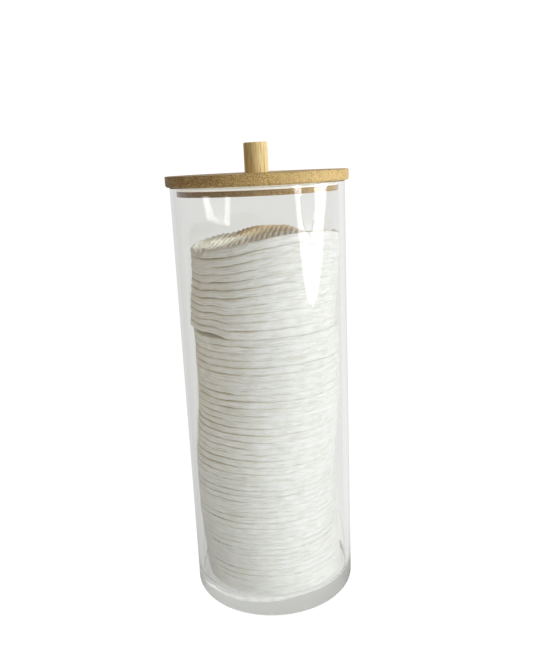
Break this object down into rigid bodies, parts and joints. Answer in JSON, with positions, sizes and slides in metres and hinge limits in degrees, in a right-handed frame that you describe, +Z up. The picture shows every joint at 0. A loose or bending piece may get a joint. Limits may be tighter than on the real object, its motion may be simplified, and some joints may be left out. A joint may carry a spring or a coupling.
{
  "type": "cotton pad holder",
  "caption": "Tall clear acrylic jar filled with a stack of round cotton pads, closed by a bamboo lid with a dowel knob and a silicone seal.",
  "frame": {"origin": "centre of the jar's flat base, on the surface that it stands on", "axes": "+Z up along the jar's axis to the knob, +X to the viewer's right, -Y towards the viewer"},
  "size_m": [0.069, 0.069, 0.18],
  "materials": {
    "acrylic": "polished",
    "bamboo": "satin",
    "bamboo_dowel": "satin",
    "silicone": "satin",
    "screw_steel": "satin",
    "cotton": "matte"
  },
  "bodies": {
    "jar_body": {"jar": "acrylic", "pad_01": "cotton", "pad_02": "cotton", "pad_03": "cotton", "pad_04": "cotton", "pad_05": "cotton", "pad_06": "cotton", "pad_07": "cotton", "pad_08": "cotton", "pad_09": "cotton", "pad_10": "cotton", "pad_11": "cotton", "pad_12": "cotton", "pad_13": "cotton", "pad_14": "cotton", "pad_15": "cotton", "pad_16": "cotton", "pad_17": "cotton", "pad_18": "cotton", "pad_19": "cotton", "pad_20": "cotton", "pad_21": "cotton", "pad_22": "cotton", "pad_23": "cotton", "pad_24": "cotton", "pad_25": "cotton", "pad_26": "cotton", "pad_27": "cotton", "pad_28": "cotton", "pad_29": "cotton", "pad_30": "cotton", "pad_31": "cotton", "pad_32": "cotton", "pad_33": "cotton", "pad_34": "cotton", "pad_35": "cotton", "pad_36": "cotton", "pad_37": "cotton", "pad_38": "cotton", "pad_39": "cotton", "pad_40": "cotton", "pad_41": "cotton", "pad_42": "cotton", "pad_43": "cotton", "pad_44": "cotton", "pad_45": "cotton", "pad_46": "cotton", "pad_47": "cotton", "pad_48": "cotton", "pad_49": "cotton", "pad_50": "cotton", "pad_51": "cotton", "pad_52": "cotton", "pad_53": "cotton", "pad_54": "cotton"},
    "lid_body": {"lid": "bamboo", "knob": "bamboo_dowel", "seal_ring": "silicone", "knob_screw": "screw_steel"}
  },
  "joints": [
    {"name": "lid_lift", "type": "slide", "parent": "jar_body", "child": "lid_body", "axis": [0, 0, 1], "range_m": [0, 0.09]}
  ]
}
